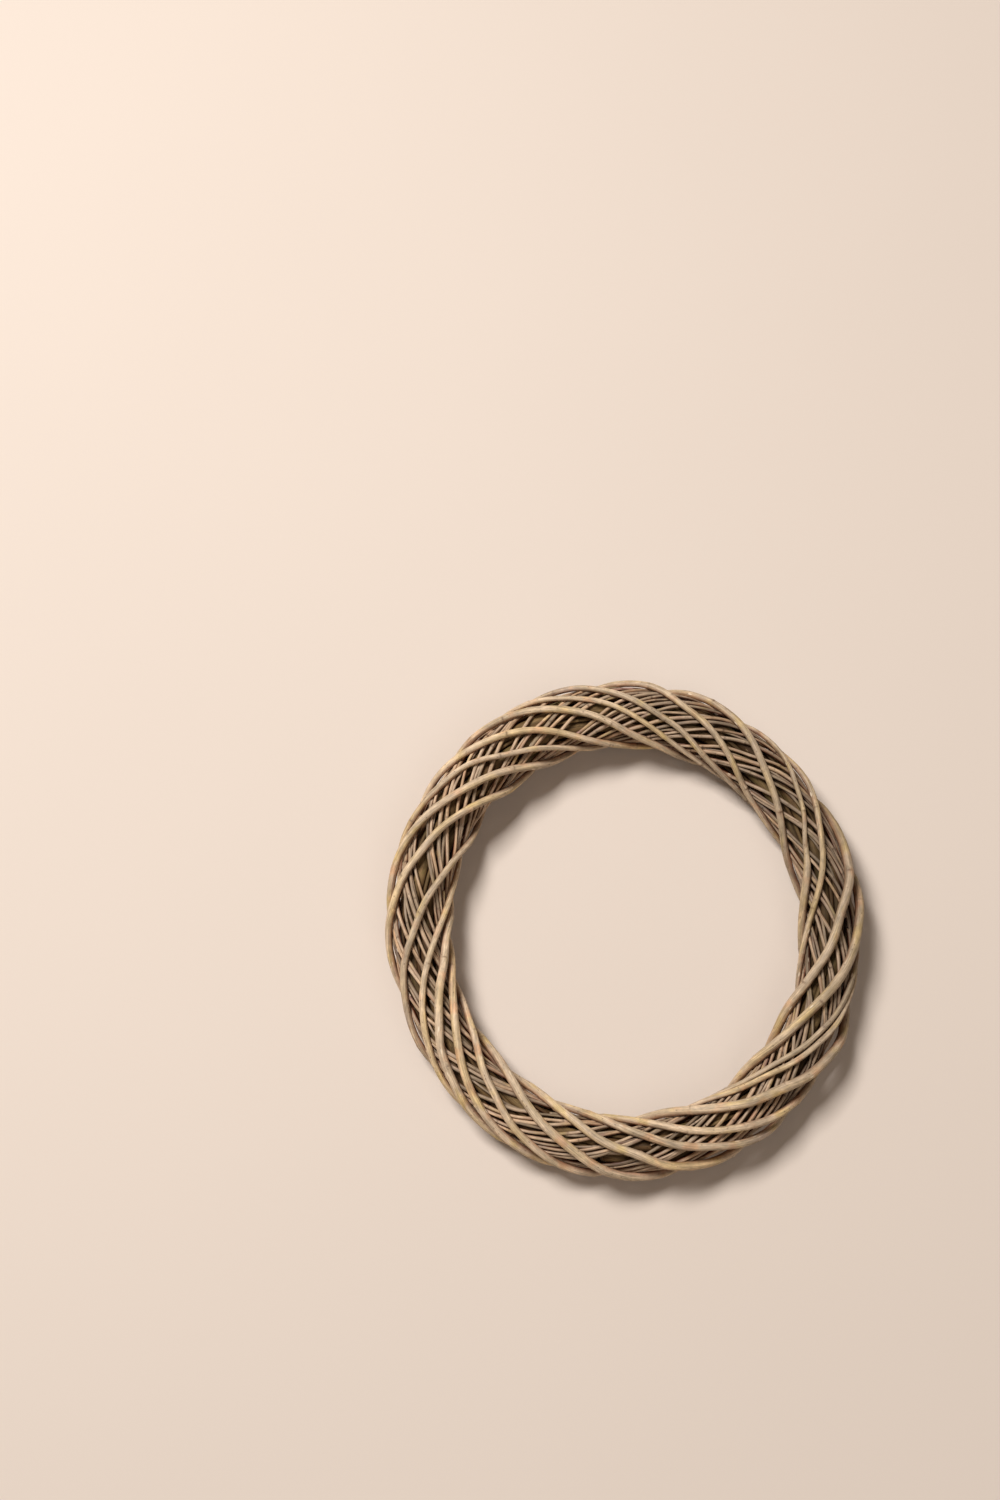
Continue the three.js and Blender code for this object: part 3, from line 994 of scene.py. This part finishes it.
def crowded(u, v):
    """Where the strand that would lie at v is pushed to."""
    push = sum(size * sine(waves * v - trips * u + phase) for waves, trips, size, phase in CROWDS)
    for place, side in WINDOWS:
        along = wrapped(u - place)
        near = along / WINDOW_LENGTH
        beside = wrapped(v - side - WEAVER_TURNS / WEAVER_STRANDS * along) / WINDOW_WIDTH
        push = push + WINDOW_PUSH * beside * np.exp(0.5 - (near**2 + beside**2) / 2)
    return v + push


def bow_at(u, v, filled=False):
    """How far a wrap bows away from the bundle there, or how far the strands follow it."""
    bow = sum(height * MM * (share if filled else 1) * np.exp(-(wrapped(u - place) / BOW_WIDTH) ** 2)
              for place, height, share in BOWS)
    return bow * np.maximum(0, sine(v)) ** 2


print(len(CROWDS), "waves of crowding and", len(BOWS), "bows")

# %% [markdown]
# Where the weavers are cut
# The weavers are one long winding, eighteen strands side by side, that comes back to its start after
# eighteen trips round the ring and sixty-seven turns round the core. It is cut into seventeen rods near
# the back. The cuts are drawn at random, but each finished rod has to lie where its plain one does. So
# the numbers come from the same seed and the same simple rule as in the plain model: multiply, add, and
# keep the remainder.

# %% Draw the cuts
WEAVER_RODS = 17
WEAVER_SEED = 11
WEAVER_WANDER = ((17, 1.5), (29, 1.4), (43, 1.1))
BACK_TURN = 0.5
WEAVER_END_SPREAD = 0.5
RANDOM_FACTOR = 1664525
RANDOM_STEP = 1013904223
RANDOM_RANGE = 2**32


def random_numbers(seed):
    """Seeded numbers from 0 to 1."""
    state = seed
    while True:
        state = (state * RANDOM_FACTOR + RANDOM_STEP) % RANDOM_RANGE
        yield state / RANDOM_RANGE


draw = random_numbers(WEAVER_SEED)
weaver_waves = [(waves, size, FULL_TURN * next(draw)) for waves, size in WEAVER_WANDER]
turns_each = WEAVER_TURNS / WEAVER_RODS
cuts = [turns_each * index + BACK_TURN + WEAVER_END_SPREAD * (next(draw) - 0.5)
        for index in range(WEAVER_RODS)]
cuts.append(cuts[0] + WEAVER_TURNS)
print("the shortest weaver winds", round(min(np.diff(cuts)), 2), "times round the core")

# %% [markdown]
# The weavers
# Each weaver follows its part of the winding. It wanders sideways by waves, each with its number in the
# whole winding, its size and its phase. It also has a slimness of its own. The outer faces of all lie
# where the wraps press on them, so a slim rod lies no deeper than a thick one.

# %% Wind the weavers
WEAVER_END_GAP = 0.03
WEAVER_SLIMNESS = (0.9, 0.1)
WEAVER_BARK_SEED = 200
# The weavers' tone is raised by the painted light in the gaps at the upper left.
WEAVER_HABIT = {"sides": 12, "step": 2.5 * MM, "scar_spacing": 34 * MM, "scar_height": 0.2,
                "uneven": 0.06, "sway": 0.8 * MM, "lift": 0.35 * MM,
                "tone": lambda u, v, tone: tone + painted_gap_light(u, GAP_LIGHT_ON_WEAVERS)[:, None]}


def wander(turns, all_turns, strand_waves):
    """How many degrees a strand has strayed sideways."""
    return sum(size * sine(FULL_TURN * waves * turns / all_turns + phase)
               for waves, size, phase in strand_waves)


def slimmer(slimness):
    """A random share of the full thickness."""
    least, more = slimness
    return least + more * next(draw)


def weaver_route(first, last, slimness):
    def route(t):
        turns = first + (last - first - WEAVER_END_GAP) * t
        u = FULL_TURN * WEAVER_STRANDS / WEAVER_TURNS * turns
        v = crowded(u, FULL_TURN * turns + wander(turns, WEAVER_TURNS, weaver_waves))
        radius = slimness * (WEAVER_BUTT + (WEAVER_TIP - WEAVER_BUTT) * t)
        return u, v, bundle_radius(u) - radius + bow_at(u, v, filled=True), radius
    return route


weavers = []
for index in range(WEAVER_RODS):
    route = weaver_route(cuts[index], cuts[index + 1], slimmer(WEAVER_SLIMNESS))
    weaver = make_rod(f"slim_weaver_{index + 1}", route, WEAVER_HABIT, (weaver_bark, cut_wood),
                      WEAVER_BARK_SEED + index)
    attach(weaver, "root")
    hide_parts(f"weaver_rod_{index + 1}")
    weavers.append(weaver)
print("weavers:", len(weavers), "rods,", triangles(weavers), "triangles")

# %% [markdown]
# Thin twigs between the weavers
# Between the weavers run thinner twigs, the tops of longer rods. They wind the same way but a little less
# steeply, so each twig crosses the weavers at a small angle. It dives under every weaver that it meets and
# rises in the gap behind it. The weavers are evenly spaced before they crowd, so one cosine tells how
# close the nearest weaver is. Because the twigs lie deeper, their tone is lowered, which is painted shade.
# At the upper right of this wreath they stay deepest, and the gaps there look wider and darker.

# %% Wind the twigs
TWIG_STRANDS = 9
TWIG_TURNS = 25
TWIG_RODS = 10
TWIG_BUTT = 1.8 * MM
TWIG_TIP = 1.2 * MM
TWIG_SINK = 0.9 * MM
TWIG_COVER = 0.4 * MM
TWIG_WAVES = ((4, 4.0, 0), (11, 3.0, 0), (17, 2.4, 0))
TWIG_END_SPREAD = 0.3
TWIG_SLIMNESS = (0.85, 0.3)
TWIG_SEED = 240
# The share of its tone that a twig keeps under the painted shade of lying deep.
TWIG_SHADED_TONE = 0.62
SPARSE_PLACE = 35
SPARSE_DEPTH = 0.75
# The twigs' tone: lowered as painted shade, and raised by the painted light in the gaps at the upper left.
TWIG_HABIT = {"sides": 8, "step": 3.2 * MM, "scar_spacing": 30 * MM, "scar_height": 0.2,
              "uneven": 0.07, "sway": 0.7 * MM, "lift": 0.2 * MM,
              "tone": lambda u, v, tone: TWIG_SHADED_TONE * tone + painted_gap_light(u, GAP_LIGHT_ON_TWIGS)[:, None]}


def twig_route(first, last, slimness):
    def route(t):
        turns = first + (last - first - WEAVER_END_GAP) * t
        u = FULL_TURN * TWIG_STRANDS / TWIG_TURNS * turns
        v = FULL_TURN * turns + wander(turns, TWIG_TURNS, TWIG_WAVES)
        closeness = (1 + cosine(WEAVER_STRANDS * v - WEAVER_TURNS * u)) / 2
        radius = slimness * (TWIG_BUTT + (TWIG_TIP - TWIG_BUTT) * t)
        low = core_radius(u) + SEAT_GAP + radius - TWIG_SINK
        high = bundle_radius(u) - radius - TWIG_COVER
        sparse = SPARSE_DEPTH * np.maximum(0, cosine(u - SPARSE_PLACE)) ** 2
        v = crowded(u, v)
        reach = low + (high - low) * (1 - closeness) * (1 - sparse)
        return u, v, reach + bow_at(u, v, filled=True), radius
    return route


twig_cuts = [TWIG_TURNS / TWIG_RODS * (index + TWIG_END_SPREAD * next(draw))
             for index in range(TWIG_RODS)]
twig_cuts.append(twig_cuts[0] + TWIG_TURNS)
twigs = []
for index in range(TWIG_RODS):
    route = twig_route(twig_cuts[index], twig_cuts[index + 1], slimmer(TWIG_SLIMNESS))
    twig = make_rod(f"thin_twig_{index + 1}", route, TWIG_HABIT, (weaver_bark, cut_wood),
                    TWIG_SEED + index)
    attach(twig, "root")
    twigs.append(twig)
print("twigs:", len(twigs), "rods,", triangles(twigs), "triangles")

# %% [markdown]
# The wraps
# Seven light rods wind over everything, the other way round. They are also one long winding: it crosses
# the front twenty-five times in seven trips round the ring. The crossings are not evenly spaced, because
# a maker sets them by eye, so their places are listed in clock degrees as they are on this wreath. A
# smooth curve through every seventh crossing gives the route. At the back the thinner wraps stand off the
# bundle, because they reach down to the ground.

# %% Find the way of the wraps
WRAP_CROSSINGS = (
    -3.3, 7.3, 23.6, 43.4, 62.5, 72.8, 94.0, 110.8, 125.2, 130.2, 143.5, 159.4, 170.7,
    185.7, 203.5, 220.2, 233.7, 244.5, 255.1, 271.0, 293.2, 306.7, 319.0, 330.6, 345.9)
WRAP_STRANDS = 7
WRAP_FRONT_RUN = 2.4
BACK_STANDOFF = 2.4 * MM
FLAT_DEPTH = 0.6 * MM


def crossing_angle(number):
    """Clock angle of a front crossing, counted on through every trip round the ring."""
    count = len(WRAP_CROSSINGS)
    return np.array(WRAP_CROSSINGS)[number % count] + FULL_TURN * (number // count)


def wrap_angle(turns):
    """Clock angle of a wrap after so many turns: a cubic curve through its front crossings."""
    whole = np.floor(turns).astype(int)
    part = turns - whole
    a, b, c, d = (crossing_angle((whole + step) * WRAP_STRANDS) for step in (-1, 0, 1, 2))
    curve = 2 * b + (c - a) * part + (2 * a - 5 * b + 4 * c - d) * part**2
    curve += (3 * b - a - 3 * c + d) * part**3
    return curve / 2 + WRAP_FRONT_RUN * sine(FULL_TURN * turns)


def back_standoff(v, radius):
    """How far a wrap stands off the bundle at the back, where it reaches for the ground."""
    short = WRAP_ROOM + FLAT_DEPTH - SEAT_GAP - 2 * radius
    return np.clip(short, 0, BACK_STANDOFF) * np.maximum(0, -cosine(v)) ** 3


print("the wraps cross the front", len(WRAP_CROSSINGS), "times")

# %% [markdown]
# Where one wrap ends and the next begins
# Each of the seven rods is given by the turns where its butt and its tip lie and by its radius at both,
# in millimetres. A butt is pared thin and pushed in under the tip of the rod before it, and that tip dives
# between the weavers. Both lean aside there by half of their joint width, which takes up more than that
# round the bundle, because the rods cross it aslant.

# %% Wind the wraps
WRAPS = (
    (0.50, 4.50, 4.8, 3.5), (4.50, 7.50, 5.0, 3.3), (7.50, 12.50, 4.9, 2.6), (12.50, 15.50, 4.2, 2.8),
    (15.50, 19.50, 4.0, 2.4), (19.50, 22.06, 4.0, 2.3), (22.06, 25.50, 4.0, 2.5))
WRAP_OVERLAP = 0.03
WRAP_LEAN_LENGTH = 0.22
WRAP_SLANT = 0.86
WRAP_TIP_TUCK = 3.4 * MM
WRAP_BUTT_TUCK = 5.6 * MM
WRAP_TUCK_LENGTH = 0.1
WRAP_PARED = 0.45
WRAP_SEED = 300
WRAP_HABIT = {"sides": 20, "step": 2.2 * MM, "scar_spacing": 42 * MM, "scar_height": 0.17,
              "uneven": 0.05, "sway": 0.8 * MM, "lift": 0.2 * MM}


def eased(share):
    """Goes smoothly from 1 at 0 to 0 at 1."""
    share = np.clip(share, 0, 1)
    return 1 - share * share * (3 - 2 * share)


def lean_fade(turns_away):
    return eased((np.abs(turns_away) - WRAP_OVERLAP) / (WRAP_LEAN_LENGTH - WRAP_OVERLAP))


def wrap_route(index):
    first, last, butt, tip = WRAPS[index]
    _, _, _, previous_tip = WRAPS[index - 1]
    _, _, next_butt, _ = WRAPS[(index + 1) % len(WRAPS)]
    gap = 2 * SEAT_GAP / MM
    arc = np.radians(float(bundle_radius(np.array(0.0))) + WRAP_ROOM / 2) * WRAP_SLANT / MM
    butt_lean = (butt + previous_tip + gap) / 2 / arc
    tip_lean = (tip + next_butt + gap) / 2 / arc

    def route(t):
        turns = first - WRAP_OVERLAP + (last - first + 2 * WRAP_OVERLAP) * t
        u = wrap_angle(turns)
        at_butt = eased((turns - turns[0]) / WRAP_TUCK_LENGTH)
        at_tip = eased((turns[-1] - turns) / WRAP_TUCK_LENGTH)
        lean = butt_lean * lean_fade(turns - first) * (1 - 2 * at_butt)
        lean -= tip_lean * lean_fade(turns - last)
        v = lean - FULL_TURN * turns
        radius = (butt + (tip - butt) * t) * MM
        reach = bundle_radius(u) + SEAT_GAP + radius + bow_at(u, v) + back_standoff(v, radius)
        reach -= WRAP_BUTT_TUCK * at_butt + WRAP_TIP_TUCK * at_tip
        return u, v, reach, radius * (1 - WRAP_PARED * at_butt)
    return route


wraps = []
for index in range(len(WRAPS)):
    wrap = make_rod(f"light_wrap_{index + 1}", wrap_route(index), WRAP_HABIT,
                    (wrap_bark, cut_wood), WRAP_SEED + index)
    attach(wrap, "root")
    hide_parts(f"wrap_rod_{index + 1}")
    wraps.append(wrap)
print("wraps:", len(wraps), "rods,", triangles(wraps), "triangles")

# %% [markdown]
# Measure and finish
# The triangles of all the rods are counted.

# %% Count the triangles and finish
print("triangles in all:", triangles(made))
